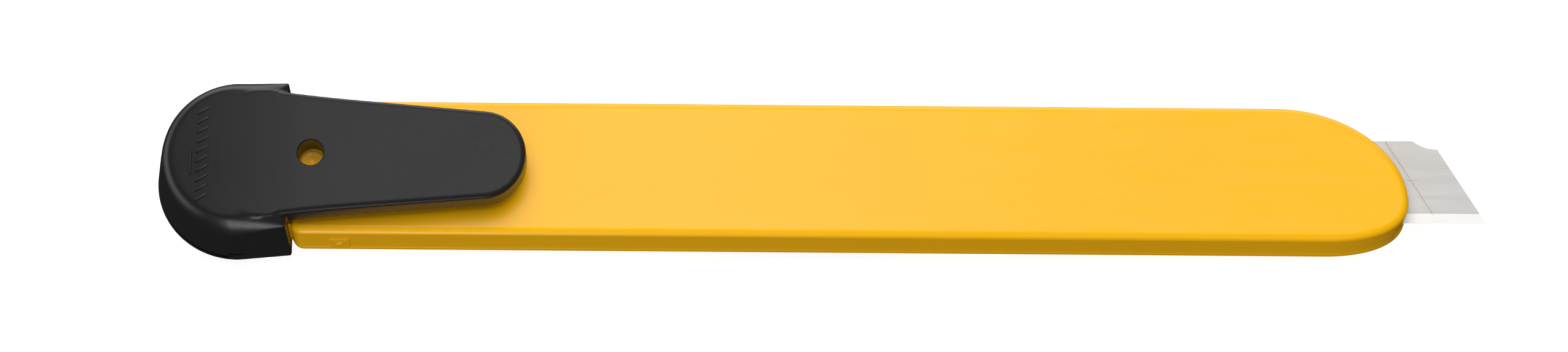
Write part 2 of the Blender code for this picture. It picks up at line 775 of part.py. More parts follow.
def thumb_grooves(cutters, knife):
    """V-grooves across the pad, which leave the ribs that the thumb grips."""
    shape = bmesh.new()
    for i in range(GROOVE_COUNT):
        x = SLIDER_X + (i - (GROOVE_COUNT - 1) / 2) * GROOVE_PITCH
        place = Matrix.Translation((x, 0.0, BUTTON_OUTER_Z))
        size = Matrix.Diagonal((GROOVE_WIDTH, BUTTON_WIDTH + OVERSHOOT, 2 * GROOVE_DEPTH, 1.0))
        on_edge = Matrix.Rotation(math.pi / 4, 4, "Y")
        unit = Matrix.Diagonal((math.sqrt(0.5), 1.0, math.sqrt(0.5), 1.0))
        bmesh.ops.create_cube(shape, size=1.0, matrix=place @ size @ on_edge @ unit)
    mesh = bpy.data.meshes.new("thumb_grooves")
    shape.to_mesh(mesh)
    shape.free()
    return add_object("thumb_grooves", mesh, cutters, knife)


# ---------------------------------------------------------------- end cap


def end_cap(parts, cutters, knife, cap):
    """The pull-off cap: a head with a socket and a blade-snapping slit, and the pocket clip."""
    head = flat_outline(
        "end_cap", head_outline(), HEAD_BOTTOM_Z, HEAD_TOP_Z, parts, cap, steps=2 * ARC_STEPS
    )
    radii = {HEAD_TOP_Z: HEAD_SHOULDER, HEAD_BOTTOM_Z: HEAD_BOTTOM_EDGE}
    round_rims(head, radii, cap, steps=RIM_STEPS + 2)
    low = (HEAD_FRONT_X, -HEAD_RADIUS - OVERSHOOT, HEAD_BOTTOM_Z - OVERSHOOT)
    high = (
        HEAD_FRONT_X + HEAD_OVERRUN + OVERSHOOT,
        HEAD_RADIUS + OVERSHOOT,
        HEAD_TOP_Z + OVERSHOOT,
    )
    cut(head, solid_of_boxes("head_front", [(low, high)], cutters, knife))
    tongue = flat_outline(
        "clip_tongue", clip_outline(), CLIP_BOTTOM_Z, HEAD_TOP_Z, cutters, knife
    )
    round_rims(tongue, {HEAD_TOP_Z: CLIP_TOP_EDGE, CLIP_BOTTOM_Z: CLIP_BOTTOM_EDGE}, knife, 3)
    join(head, tongue)
    cut(head, cap_socket(cutters, knife))
    hole_middle = (BOSS_X, 0.0, (CLIP_BOTTOM_Z + HEAD_TOP_Z) / 2)
    hole_depth = HEAD_TOP_Z - CLIP_BOTTOM_Z + OVERSHOOT
    hole = cylinder("clip_hole", CLIP_HOLE_RADIUS, hole_middle, hole_depth, cutters, knife)
    cut(head, hole)
    cut(head, snap_slit(cutters, knife))
    return head


def cap_socket(cutters, knife):
    outline = tenon_outline(SOCKET_CLEARANCE, SOCKET_REAR_X, HEAD_FRONT_X + OVERSHOOT)
    low, high = TENON_BOTTOM_Z - SOCKET_CLEARANCE, TENON_TOP_Z + SOCKET_CLEARANCE
    return flat_outline("cap_socket", outline, low, high, cutters, knife)


def snap_slit(cutters, knife):
    """A thin slot across the head's near rear quarter, in which a worn segment is snapped off."""
    shape = bmesh.new()
    depth = HEAD_RADIUS + OVERSHOOT - SNAP_SLIT_INNER
    height = SNAP_SLIT_TOP_Z - SNAP_SLIT_BOTTOM_Z
    centre = (HEAD_RADIUS, 0.0, (SNAP_SLIT_TOP_Z + SNAP_SLIT_BOTTOM_Z) / 2)
    turn = Matrix.Rotation(math.radians(225), 4, "Z")
    outwards = Matrix.Translation((SNAP_SLIT_INNER + depth / 2, 0.0, 0.0))
    size = Matrix.Diagonal((depth, 2 * HEAD_RADIUS, height, 1.0))
    place = Matrix.Translation(centre) @ turn @ outwards @ size
    bmesh.ops.create_cube(shape, size=1.0, matrix=place)
    mesh = bpy.data.meshes.new("snap_slit")
    shape.to_mesh(mesh)
    shape.free()
    return add_object("snap_slit", mesh, cutters, knife)


# ---------------------------------------------------------------- assembly


def paint(things, material):
    for thing in things:
        thing.data.materials.append(material)


def build_knife():
    clear_scene()
    parts = new_collection("utility_knife")
    cutters = new_collection("cutters")
    knife = empty_at("knife", (-KNIFE_LENGTH / 2, 0.0, -BUTTON_OUTER_Z))
    slider = empty_at("blade_slide", (SLIDER_X, 0.0, CARRIER_Z), knife)
    button = empty_at("button_press", (0.0, 0.0, BUTTON_INNER_Z - CARRIER_Z), slider)
    cap = empty_at("cap_pull", (HEAD_FRONT_X, 0.0, 0.0), knife)
    bpy.context.view_layer.update()
    yellow = plastic("yellow_plastic", (0.96, 0.50, 0.02), 0.30)
    black = plastic("black_plastic", (0.018, 0.017, 0.017), 0.45)
    dark = plastic("button_plastic", (0.022, 0.021, 0.021), 0.50)
    blade_steel = steel("blade_steel", (0.62, 0.60, 0.57), 0.25)
    sheet_steel = steel("sheet_steel", (0.55, 0.55, 0.55), 0.35)
    handle = [back_shell(parts, cutters, knife), front_cover(parts, cutters, knife)]
    paint(handle, yellow)
    folded = [blade_guide(parts, cutters, knife), blade_carrier(parts, cutters, knife, slider)]
    folded += [lock_spring(parts, slider), lock_plate(parts, cutters, knife, button)]
    folded.append(carrier_stud(parts, cutters, knife, slider))
    paint(folded, sheet_steel)
    paint([blade(parts, cutters, knife, slider)], blade_steel)
    paint([thumb_button(parts, cutters, knife, button)], dark)
    paint([end_cap(parts, cutters, knife, cap)], black)


build_knife()
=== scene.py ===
"""Looks of the pocket utility knife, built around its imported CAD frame.

Shapes are drawn in the design frame that the CAD source uses: x from the rear of the end cap towards
the blade's tip, y across the handle with the cutting edge on -y, z = 0 on the handle's back face.
Each finished piece is then moved to the part's frame, and rides on a CAD body.
"""

import math

import bmesh
import bpy
from mathutils import Matrix, Vector
from mathutils.geometry import interpolate_bezier


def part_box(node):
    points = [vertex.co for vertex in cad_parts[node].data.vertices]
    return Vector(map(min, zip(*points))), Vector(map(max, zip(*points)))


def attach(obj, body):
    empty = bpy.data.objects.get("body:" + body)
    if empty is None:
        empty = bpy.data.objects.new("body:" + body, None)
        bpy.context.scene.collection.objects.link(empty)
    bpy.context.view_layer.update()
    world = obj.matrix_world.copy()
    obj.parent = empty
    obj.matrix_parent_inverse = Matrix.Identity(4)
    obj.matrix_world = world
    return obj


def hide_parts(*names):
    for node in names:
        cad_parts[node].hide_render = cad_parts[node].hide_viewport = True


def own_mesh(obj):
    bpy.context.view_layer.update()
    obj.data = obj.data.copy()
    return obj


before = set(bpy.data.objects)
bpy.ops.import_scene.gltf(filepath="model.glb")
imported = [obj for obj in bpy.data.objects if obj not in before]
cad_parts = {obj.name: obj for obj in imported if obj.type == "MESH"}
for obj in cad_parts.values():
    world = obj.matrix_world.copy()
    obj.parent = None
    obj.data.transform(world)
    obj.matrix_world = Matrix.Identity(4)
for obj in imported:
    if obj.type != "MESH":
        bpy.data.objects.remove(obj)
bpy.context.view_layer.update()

MM = 0.001

# Places read from the frame
CAP_LOW, CAP_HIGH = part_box("end_cap")
COVER_LOW, COVER_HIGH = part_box("front_cover")
BUTTON_LOW, BUTTON_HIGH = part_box("thumb_button")
BLADE_LOW, BLADE_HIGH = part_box("blade")
HANDLE_DEPTH = 6.6 * MM
DESIGN_ORIGIN = Vector((CAP_LOW.x, 0.0, COVER_LOW.z + HANDLE_DEPTH))

# Handle
HALF_HANDLE = (COVER_HIGH.y - COVER_LOW.y) / 2
NOSE_X = COVER_HIGH.x - DESIGN_ORIGIN.x
HANDLE_REAR_X = 14.25 * MM
PARTING_Z = -5.4 * MM
PARTING_GAP = 0.1 * MM
BACK_EDGE_RADIUS = 0.85 * MM
FRONT_EDGE_RADIUS = 0.5 * MM
PARTING_CHAMFER = 0.12 * MM
FLASH_TOP_Z = -4.6 * MM  # the wall flares out a little from here down to the parting line
FLASH_BOTTOM_Z = -5.2 * MM
FLASH_RISE = 0.07 * MM
REAR_CORNER_RADIUS = 1.2 * MM
NOSE_TIP_Y = -3.0 * MM
NOSE_UPPER_LENGTH = 14.0 * MM
NOSE_UPPER_PULLS = (0.50, 0.57)
NOSE_LOWER_LENGTH = 8.5 * MM
NOSE_LOWER_PULLS = (0.47, 0.75)
TENON_REAR_X = 6.0 * MM
TENON_WIDTH = 12.8 * MM
TENON_TOP_Z = -0.7 * MM
TENON_BOTTOM_Z = -6.1 * MM
TENON_CORNER_RADIUS = 1.3 * MM
TENON_EDGE_RADIUS = 0.3 * MM
CAVITY_WIDTH = 10.9 * MM
CAVITY_TOP_Z = -2.0 * MM
BOSS_X = 16.6 * MM
BOSS_RADIUS = 1.5 * MM
BOSS_HEIGHT = 1.3 * MM
BOSS_EDGE = 0.3 * MM
BOSS_DISH_RADIUS = 0.85 * MM
BOSS_DISH_DEPTH = 0.22 * MM
BOSS_DISH_STEPS = 7
BOSS_DISH_REACH = 0.96  # the last ring stops short of the middle, so that it keeps a size
PAD_X = 19.35 * MM
PAD_Z = -3.8 * MM
PAD_LENGTH = 2.1 * MM
PAD_HEIGHT = 2.8 * MM
PAD_RISE = 0.12 * MM
PAD_CORNER_RADIUS = 0.15 * MM
PAD_EDGE = 0.06 * MM
NUB_RADIUS = 0.4 * MM
NUB_RISE = 0.28 * MM
NUB_EDGE = 0.2 * MM
SLOT_WIDTH = 6.0 * MM
SLOT_FRONT_X = 113.5 * MM
SLOT_CORNER_RADIUS = 1.0 * MM
SLOT_EDGE = 0.25 * MM
SLOT_INNER_EDGE = 0.05 * MM

# Blade
BLADE_LENGTH = BLADE_HIGH.x - BLADE_LOW.x
BLADE_TIP_X = BLADE_HIGH.x - DESIGN_ORIGIN.x
HALF_BLADE = (BLADE_HIGH.y - BLADE_LOW.y) / 2
BLADE_THICKNESS = BLADE_HIGH.z - BLADE_LOW.z
BLADE_Z = (BLADE_HIGH.z + BLADE_LOW.z) / 2 - DESIGN_ORIGIN.z
BLADE_ANGLE = math.radians(58.5)
BLADE_BEVEL = 1.05 * MM
EDGE_THICKNESS = 0.012 * MM
SEGMENT = 5.0 * MM
SCORE_COUNT = 12
SCORE_WIDTH = 0.26 * MM
SCORE_DEPTH = 0.09 * MM
TIP_NOTCH_LENGTH = 2.6 * MM
TIP_NOTCH_DEPTH = 0.87 * MM
TIP_NOTCH_ROUND = 0.9  # share of the notch's sides that its round takes up
TAIL_HOLE_RADIUS = 1.2 * MM
TAIL_HOLE_X = 63.6 * MM

# Thumb button
SLIDER_X = (BUTTON_LOW.x + BUTTON_HIGH.x) / 2 - DESIGN_ORIGIN.x
BUTTON_LENGTH = BUTTON_HIGH.x - BUTTON_LOW.x
BUTTON_WIDTH = BUTTON_HIGH.y - BUTTON_LOW.y
BUTTON_OUTER_Z = BUTTON_LOW.z - DESIGN_ORIGIN.z
BUTTON_INNER_Z = -7.2 * MM
BUTTON_CORNER_RADIUS = 2.6 * MM
BUTTON_EDGE_RADIUS = 0.6 * MM
BUTTON_INNER_EDGE = 0.15 * MM
GROOVE_COUNT = 7
GROOVE_PITCH = 2.2 * MM
GROOVE_WIDTH = 1.3 * MM
GROOVE_DEPTH = 0.55 * MM
GROOVE_ROUND = 0.4  # share of the groove's half width that its round bottom takes up
RIB_EDGE = 0.08 * MM
RIB_ANGLE = math.radians(30)
STEM_LENGTH = 6.0 * MM
STEM_WIDTH = 5.2 * MM
STEM_CORNER_RADIUS = 0.3 * MM
STEM_TOP_Z = -4.9 * MM

# Lock spring
SPRING_LOW, SPRING_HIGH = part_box("lock_spring")
SPRING_SHEET = 0.15 * MM
SPRING_STEPS = 24

# End cap
HEAD_RADIUS = 8.4 * MM
HEAD_FRONT_X = 14.1 * MM
HEAD_FRONT_WIDTH = 15.7 * MM
HEAD_TOP_Z = CAP_HIGH.z - DESIGN_ORIGIN.z
HEAD_BOTTOM_Z = CAP_LOW.z - DESIGN_ORIGIN.z
HEAD_BOTTOM_EDGE = 0.3 * MM
HEAD_REAR_BULGE = 0.3 * MM
SHOULDER_WIDTH = 1.35 * MM  # the head's rounded shoulder, seen from above
SHOULDER_STEPS = 16
SHOULDER_STRAIGHT = 0.5  # 1 would be a straight slope, and 0 a quarter round
FRONT_DROP = 0.6 * MM  # the shoulder's depth at the head's front
FRONT_FALL = 0.46  # and how fast it gets deeper from there towards the rear
REAR_DROP = 2.3 * MM  # the depth at the rear, where it is less than the front's fall makes it
REAR_FALL = 0.35  # and how fast it gets deeper from there towards the front
REAR_LEAN = 1.1 * MM  # how far the rear wall leans in
REAR_LEAN_FADE = 1.5  # the lean has gone at 1 / 1.5 of the head's length
REAR_LEAN_CURVE = 1.3
STRAIGHT_GROWTH = 1.6  # the slope is as straight as it gets at 1 / 1.6 of the head's length
DROP_BLEND = 3  # how sharply the rear drop gives way to the front drop
LEDGE_STEP = 0.5 * MM  # the tongue stands up to this much above the shoulder at the head's front
LEDGE_START = 0.4  # share of the head's length where that step begins
LEDGE_WIDTH = 0.7 * MM
CROWN_START_X = 16.0 * MM  # behind here the top falls away gently
CROWN_CURVE = 3.0  # per metre
RECESS_X = 8.35 * MM  # small rectangle sunk in the near wall
RECESS_Z = -4.35 * MM
RECESS_LENGTH = 1.9 * MM
RECESS_HEIGHT = 1.7 * MM
RECESS_DEPTH = 0.15 * MM
MARK_X = 5.25 * MM  # row of small raised bars across the head
MARK_FAR_Y = 4.6 * MM
MARK_COUNT = 10
MARK_PITCH = 1.05 * MM
MARK_LENGTH = 1.5 * MM
MARK_WIDTH = 0.3 * MM
MARK_RISE = 0.11 * MM
MARK_ROOT = 0.3 * MM  # a bar reaches this far into the cap
MARK_EDGE = 0.06 * MM
MARK_CORNER_RADIUS = 0.1 * MM
POINTER_X = 4.05 * MM  # thin raised bar and slanted groove that point to the snapping slit
POINTER_Y = -0.96 * MM
POINTER_LENGTH = 2.9 * MM
POINTER_WIDTH = 0.22 * MM
POINTER_CORNER_RADIUS = 0.08 * MM
POINTER_GROOVE_LENGTH = 2.2 * MM
POINTER_GROOVE_WIDTH = 0.14 * MM
POINTER_GROOVE_TURN = math.radians(-26)
SOCKET_REAR_X = 5.7 * MM
SOCKET_CLEARANCE = 0.2 * MM
SOCKET_CORNER_RADIUS = 0.4 * MM
SOCKET_EDGE = 0.25 * MM
CLIP_BOTTOM_Z = 1.5 * MM
CLIP_TIP_X = 39.1 * MM
CLIP_TIP_WIDTH = 8.8 * MM
CLIP_END_LENGTH = 4.2 * MM
CLIP_SIDE = (  # corners of one side: x, y, and how far the round reaches before and after it
    (6.2 * MM, 3.6 * MM, 2.5 * MM, 2.0 * MM),  # where the tongue dies into the head's top
    (9.4 * MM, 7.4 * MM, 2.4 * MM, 2.0 * MM),  # widest place, over the head
    (15.0 * MM, 6.43 * MM, 4.0 * MM, 7.0 * MM),  # neck, from which it tapers to the tip
)
CLIP_TOP_EDGE = 0.5 * MM
CLIP_BOTTOM_EDGE = 0.3 * MM
CLIP_HOLE_RADIUS = 1.36 * MM
CLIP_HOLE_EDGE = 0.15 * MM
SNAP_SLIT_TOP_Z = -5.65 * MM
SNAP_SLIT_BOTTOM_Z = -6.25 * MM
SNAP_SLIT_INNER = 6.45 * MM
SNAP_SLIT_TURN = math.radians(225)
CAP_VOXEL = 0.14 * MM  # grid that melts the head and the clip into one moulding
CAP_SMOOTHING = 7  # rounds of smoothing that take the grid's steps away

# Modelling
ROUND_STEPS = 8  # of a rounded rim
SAME_POINT = 0.0001 * MM
LEAST_MITRE = 0.3  # keeps an inset at a sharp corner from running off
OVERSHOOT = 1.0 * MM  # how far a cutter reaches past what it cuts
SOFT_ANGLE = math.radians(32)  # edges sharper than this stay sharp
CAP_SOFT_ANGLE = math.radians(40)
BLADE_SOFT_ANGLE = math.radians(2)

# Colours in linear light. A surface drifts between the two of a pair
YELLOW = ((0.97, 0.49, 0.003), (0.95, 0.475, 0.003))
BLACK = ((0.0125, 0.0112, 0.0116), (0.0145, 0.0130, 0.0134))
BLADE_FLAT = ((0.71, 0.695, 0.67), (0.76, 0.745, 0.72))
BLADE_EDGE_HIGHLIGHT = (0.93, 0.925, 0.91)  # painted highlight on the cutting edge's ground bevel, lighter than the flat steel
GRIND_BLUR = 0.03 * MM  # width over which the painted edge highlight fades in at the grind line
SHEET = ((0.56, 0.56, 0.55), (0.66, 0.66, 0.65))

# Studio, in metres
CAMERA_ELEVATION = math.radians(73.0)
CAMERA_DISTANCE = 0.7
CAMERA_ROLL = math.radians(0.45)
VIEW_WIDTH = 164.7 * MM  # what the picture's width takes in at the handle's back face
VIEW_TARGET = Vector((-3.95 * MM, -0.75 * MM, DESIGN_ORIGIN.z))
SENSOR_WIDTH = 36.0  # in millimetres, as cameras have it
HANDLE_MIDDLE = (0.0, 0.0, DESIGN_ORIGIN.z)
LAMPS = (  # name, place, what it is aimed at, two sides, radiance, and whether gloss mirrors it
    ("overhead", (-0.045, 0.22, 0.8), (-0.045, 0.0, 0.009), (0.15, 0.5), 1.45, True),
    ("front_card", (-0.13, -0.62, -0.08), (-0.06, 0.0, 0.01), (0.14, 0.36), 3.2, True),
    ("top_fill", (0.0, 0.35, 1.2), HANDLE_MIDDLE, (1.2, 1.2), 3.75, False),
    ("under_fill", (0.0, 0.7, -1.0), HANDLE_MIDDLE, (0.8, 0.8), 4.0, False),
    ("front_fill", (-0.1, -1.2, 0.35), HANDLE_MIDDLE, (1.2, 0.7), 2.9, False),
)
FLOOR_REACH = 3.0
FLOOR_Z = -0.02 * MM
FLOOR_GREY = 0.3
FLOOR_GLOW = 0.9


class Corner:
    """A corner of a flat outline. before and after are the lengths of straight side that its round
    takes up, and pulls are how far the round's two handles reach towards the corner, as shares."""

    def __init__(self, x, y, before=0.0, after=0.0, pulls=None):
        self.point = Vector((x, y))
        self.before = before
        self.after = after
        self.pulls = pulls


# ---------------------------------------------------------------- modelling tools


def outline_points(corners, steps):
    """The outline's points, anticlockwise, with each round in this many steps."""
    points = []
    for i, corner in enumerate(corners):
        point = corner.point
        if corner.before == 0.0:
            points.append(point.copy())
            continue
        to_previous = corners[i - 1].point - point
        to_next = corners[(i + 1) % len(corners)].point - point
        turning = math.pi - to_previous.angle(to_next)
        circular = 4 / 3 * math.tan(turning / 4) / math.tan(turning / 2)
        pulls = corner.pulls or (circular, circular)
        start = point + to_previous.normalized() * corner.before
        end = point + to_next.normalized() * corner.after
        handles = (start.lerp(point, pulls[0]), end.lerp(point, pulls[1]))
        points.extend(interpolate_bezier(start, *handles, end, steps + 1))
    return drop_repeats(points)


def drop_repeats(points):
    """The points without those that lie on the one before them."""
    kept = []
    for point in points:
        if not kept or (point - kept[-1]).length > SAME_POINT:
            kept.append(point)
    if (kept[0] - kept[-1]).length < SAME_POINT:
        kept.pop()
    return kept


def inset_ring(points, distances):
    """The outline moved inwards by a distance at each of its points."""
    moved = []
    count = len(points)
    for i, point in enumerate(points):
        before = (point - points[i - 1]).normalized()
        after = (points[(i + 1) % count] - point).normalized()
        inward_before = Vector((-before.y, before.x))
        inward_after = Vector((-after.y, after.x))
        middle = (inward_before + inward_after).normalized()
        stretch = 1 / max(LEAST_MITRE, middle.dot(inward_before))
        moved.append(point + middle * distances[i] * stretch)
    return moved


def ring_solid(name, rings):
    """A closed solid through rings of 3D points, from the lowest ring to the highest."""
    shape = bmesh.new()
    made = [[shape.verts.new(point) for point in ring] for ring in rings]
    for low, high in zip(made, made[1:]):
        for i in range(len(low)):
            shape.faces.new((low[i - 1], low[i], high[i], high[i - 1]))
    shape.faces.new(list(reversed(made[0])))
    shape.faces.new(made[-1])
    return to_object(name, shape)


def to_object(name, shape):
    """Makes an object of a bmesh, with its faces turned outwards."""
    bmesh.ops.recalc_face_normals(shape, faces=shape.faces)
    mesh = bpy.data.meshes.new(name)
    shape.to_mesh(mesh)
    shape.free()
    thing = bpy.data.objects.new(name, mesh)
    bpy.context.scene.collection.objects.link(thing)
    return thing


def plate(name, corners, levels, steps=16):
    """A flat piece with this outline. levels are (height, inset), from the lowest to the highest."""
    points = outline_points(corners, steps)
    rings = []
    for height, inset in levels:
        ring = inset_ring(points, [inset] * len(points))
        rings.append([Vector((*point, height)) for point in ring])
    return ring_solid(name, rings)


def rounded_levels(low, high, low_radius, high_radius, steps=ROUND_STEPS):
    """Levels of a plate whose lower and upper rims are rounded to these radii."""
    levels = []
    for i in range(steps + 1):
        turn = math.pi / 2 * i / steps
        rise = low_radius * (1 - math.cos(turn))
        levels.append((low + rise, low_radius * (1 - math.sin(turn))))
    for i in range(steps + 1):
        turn = math.pi / 2 * (1 - i / steps)
        drop = high_radius * (1 - math.cos(turn))
        levels.append((high - drop, high_radius * (1 - math.sin(turn))))
    return levels


def flared_levels(low, high, low_edge, high_edge, steps=6):
    """Levels of a cutter that goes through a wall from low to high and rounds the rims it leaves."""
    last = math.radians(84)  # short of a right angle, so that the cutter leaves the face cleanly
    flare = 1 - math.cos(last)
    levels = [(low - OVERSHOOT, -low_edge * flare)]
    for i in range(steps + 1):
        turn = last * (1 - i / steps)
        levels.append((low + low_edge * (1 - math.sin(turn)), -low_edge * (1 - math.cos(turn))))
    for i in range(steps + 1):
        turn = last * i / steps
        levels.append((high - high_edge * (1 - math.sin(turn)), -high_edge * (1 - math.cos(turn))))
    levels.append((high + OVERSHOOT, -high_edge * flare))
    return levels


def circle_corners(x, y, radius):
    """A circle as four rounded corners."""
    signs = ((-1, -1), (1, -1), (1, 1), (-1, 1))
    return [Corner(x + a * radius, y + b * radius, radius, radius) for a, b in signs]


def rectangle_corners(x, y, length, width, radius):
    """A rectangle with rounded corners around this middle."""
    signs = ((-1, -1), (1, -1), (1, 1), (-1, 1))
    half_length, half_width = length / 2, width / 2
    return [Corner(x + a * half_length, y + b * half_width, radius, radius) for a, b in signs]


def box(name, low, high):
    """A block between two opposite corners."""
    shape = bmesh.new()
    low, high = Vector(low), Vector(high)
    place = Matrix.LocRotScale((low + high) / 2, None, high - low)
    bmesh.ops.create_cube(shape, size=1.0, matrix=place)
    return to_object(name, shape)


def apply_modifiers(thing):
    """Makes the evaluated mesh the object's own mesh."""
    seen = thing.evaluated_get(bpy.context.evaluated_depsgraph_get())
    mesh = bpy.data.meshes.new_from_object(seen)
    mesh.name = thing.name
    thing.modifiers.clear()
    thing.data = mesh


def combine(thing, other, operation):
    """Joins or cuts with the other object, which is used up."""
    boolean = thing.modifiers.new("combine", "BOOLEAN")
    boolean.operation = operation
    boolean.solver = "EXACT"
    boolean.object = other
    apply_modifiers(thing)
    bpy.data.objects.remove(other)


def cut(thing, *cutters):
    for cutter in cutters:
        combine(thing, cutter, "DIFFERENCE")


def join(thing, *others):
    for other in others:
        combine(thing, other, "UNION")


def gather(thing, other):
    """Puts the other mesh into the first one as it is. A voxel remesh melts the two together."""
    shape = bmesh.new()
    shape.from_mesh(thing.data)
    shape.from_mesh(other.data)
    shape.to_mesh(thing.data)
    shape.free()
    bpy.data.objects.remove(other)


def soften(thing, angle=SOFT_ANGLE):
    """Smooth shading that keeps flat faces flat and edges above this angle sharp."""
    thing.data.shade_smooth()
    thing.data.set_sharp_from_angle(angle=angle)
    weighted = thing.modifiers.new("flat_faces", "WEIGHTED_NORMAL")
    weighted.keep_sharp = True
    weighted.weight = 100


def finish_piece(thing, body, slot, material, *nodes):
    """Moves a piece from the design frame to the part's frame and ties it to its CAD body."""
    thing.data.transform(Matrix.Translation(DESIGN_ORIGIN))
    thing.data.materials.clear()
    thing.data.materials.append(material)
    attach(thing, body)
    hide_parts(*nodes)
    return thing


# ---------------------------------------------------------------- outlines


def handle_outline():
    """Square shoulders at the rear and a lopsided round nose."""
    side = HALF_HANDLE
    corner = REAR_CORNER_RADIUS
    return [
        Corner(HANDLE_REAR_X, -side, corner, corner),
        Corner(NOSE_X, -side, NOSE_LOWER_LENGTH, NOSE_TIP_Y + side, NOSE_LOWER_PULLS),
        Corner(NOSE_X, side, side - NOSE_TIP_Y, NOSE_UPPER_LENGTH, NOSE_UPPER_PULLS),
        Corner(HANDLE_REAR_X, side, corner, corner),
    ]


def tenon_outline():
    """The narrower block that goes into the end cap, from inside the handle's rear end."""
    side = TENON_WIDTH / 2
    front = HANDLE_REAR_X + OVERSHOOT
    corner = TENON_CORNER_RADIUS
    return [
        Corner(TENON_REAR_X, -side, corner, corner),
        Corner(front, -side),
        Corner(front, side),
        Corner(TENON_REAR_X, side, corner, corner),
    ]


def head_outline():
    """A half circle at the rear, then sides that draw in a little towards the front."""
    front_side = HEAD_FRONT_WIDTH / 2
    length = HEAD_RADIUS + HEAD_REAR_BULGE
    return [
        Corner(-HEAD_REAR_BULGE, -HEAD_RADIUS, HEAD_RADIUS, length),
        Corner(HEAD_RADIUS, -HEAD_RADIUS),
        Corner(HEAD_FRONT_X, -front_side),
        Corner(HEAD_FRONT_X, front_side),
        Corner(HEAD_RADIUS, HEAD_RADIUS),
        Corner(-HEAD_REAR_BULGE, HEAD_RADIUS, length, HEAD_RADIUS),
    ]


def clip_outline():
    """The tapered tongue. Over the head it flares out, and its rear end dies into the head's top."""
    tip = CLIP_TIP_WIDTH / 2
    side = [Corner(*values) for values in CLIP_SIDE]
    side.append(Corner(CLIP_TIP_X, tip, CLIP_END_LENGTH, tip))
    near = [Corner(c.point.x, -c.point.y, c.before, c.after) for c in side]
    far = [Corner(c.point.x, c.point.y, c.after, c.before) for c in reversed(side)]
    return near + far


def blade_outline():
    """Slanted ends, and the notch that the last snap left at the tip."""
    lean = 1 / math.tan(BLADE_ANGLE)
    rear = BLADE_TIP_X - BLADE_LENGTH
    notch_start = BLADE_TIP_X - (2 * HALF_BLADE - TIP_NOTCH_DEPTH) * lean
    notch_y = HALF_BLADE - TIP_NOTCH_DEPTH
    bend = TIP_NOTCH_LENGTH / 2
    reach = bend * TIP_NOTCH_ROUND
    return [
        Corner(rear + 2 * HALF_BLADE * lean, -HALF_BLADE),
        Corner(BLADE_TIP_X, -HALF_BLADE),
        Corner(notch_start, notch_y),
        Corner(notch_start - bend, notch_y, reach, reach),
        Corner(notch_start - TIP_NOTCH_LENGTH, HALF_BLADE),
        Corner(rear, HALF_BLADE),
    ]


# ---------------------------------------------------------------- handle


def make_back_shell():
    """The deep tray: back face, side walls with a slight flash at the parting line, and boss."""
    top = rounded_levels(PARTING_Z, 0.0, 0.0, BACK_EDGE_RADIUS, 12)
    # The shares of the chamfer and of the flash's rise below round their edges off
    levels = [
        (PARTING_Z, PARTING_CHAMFER),
        (PARTING_Z + 0.4 * PARTING_CHAMFER, 0.3 * PARTING_CHAMFER),
        (FLASH_BOTTOM_Z - 0.05 * MM, -0.6 * FLASH_RISE),
        (FLASH_BOTTOM_Z, -FLASH_RISE),
        (FLASH_BOTTOM_Z + 0.08 * MM, -0.85 * FLASH_RISE),
        (FLASH_TOP_Z, 0.0),
    ]
    levels += [level for level in top if level[0] > FLASH_TOP_Z]
    shell = plate("handle_back_shell", handle_outline(), levels, steps=40)
    rim = rounded_levels(PARTING_Z, TENON_TOP_Z, 0.0, TENON_EDGE_RADIUS)[ROUND_STEPS + 1 :]
    join(shell, plate("tenon", tenon_outline(), [(PARTING_Z, 0.0)] + rim, 8))
    low = (TENON_REAR_X - OVERSHOOT, -CAVITY_WIDTH / 2, PARTING_Z - OVERSHOOT)
    high = (NOSE_X + OVERSHOOT, CAVITY_WIDTH / 2, CAVITY_TOP_Z)
    cut(shell, box("cavity", low, high))
    join(shell, make_boss(), make_moulding_pad(), make_moulding_nub())
    soften(shell)
    return shell


def make_boss():
    """The round boss under the clip's hole, with a rounded edge and a dished top."""
    levels = rounded_levels(-OVERSHOOT, BOSS_HEIGHT, 0.0, BOSS_EDGE)
    rim = BOSS_RADIUS - BOSS_DISH_RADIUS
    for i in range(1, BOSS_DISH_STEPS + 1):
        share = i / BOSS_DISH_STEPS
        inset = rim + share * BOSS_DISH_REACH * BOSS_DISH_RADIUS
        levels.append((BOSS_HEIGHT - BOSS_DISH_DEPTH * math.sin(share * math.pi / 2), inset))
    return plate("boss", circle_corners(BOSS_X, 0.0, BOSS_RADIUS), levels, 16)


def upright(thing, y):
    """Turns a plate drawn in x and y so that it is drawn in x and z, at this y and facing -y."""
    thing.data.transform(Matrix.Translation((0.0, y, 0.0)) @ Matrix.Rotation(math.pi / 2, 4, "X"))
    return thing


def make_moulding_pad():
    """The low rectangular pad on the near wall."""
    corners = rectangle_corners(PAD_X, PAD_Z, PAD_LENGTH, PAD_HEIGHT, PAD_CORNER_RADIUS)
    pad = plate("pad", corners, rounded_levels(-OVERSHOOT, PAD_RISE, 0.0, PAD_EDGE, 4), 4)
    return upright(pad, -HALF_HANDLE)


def make_moulding_nub():
    """The small round nub in the middle of the pad."""
    levels = rounded_levels(-OVERSHOOT, NUB_RISE, 0.0, NUB_EDGE, 5)
    nub = plate("nub", circle_corners(PAD_X, PAD_Z, NUB_RADIUS), levels, 8)
    return upright(nub, -HALF_HANDLE)


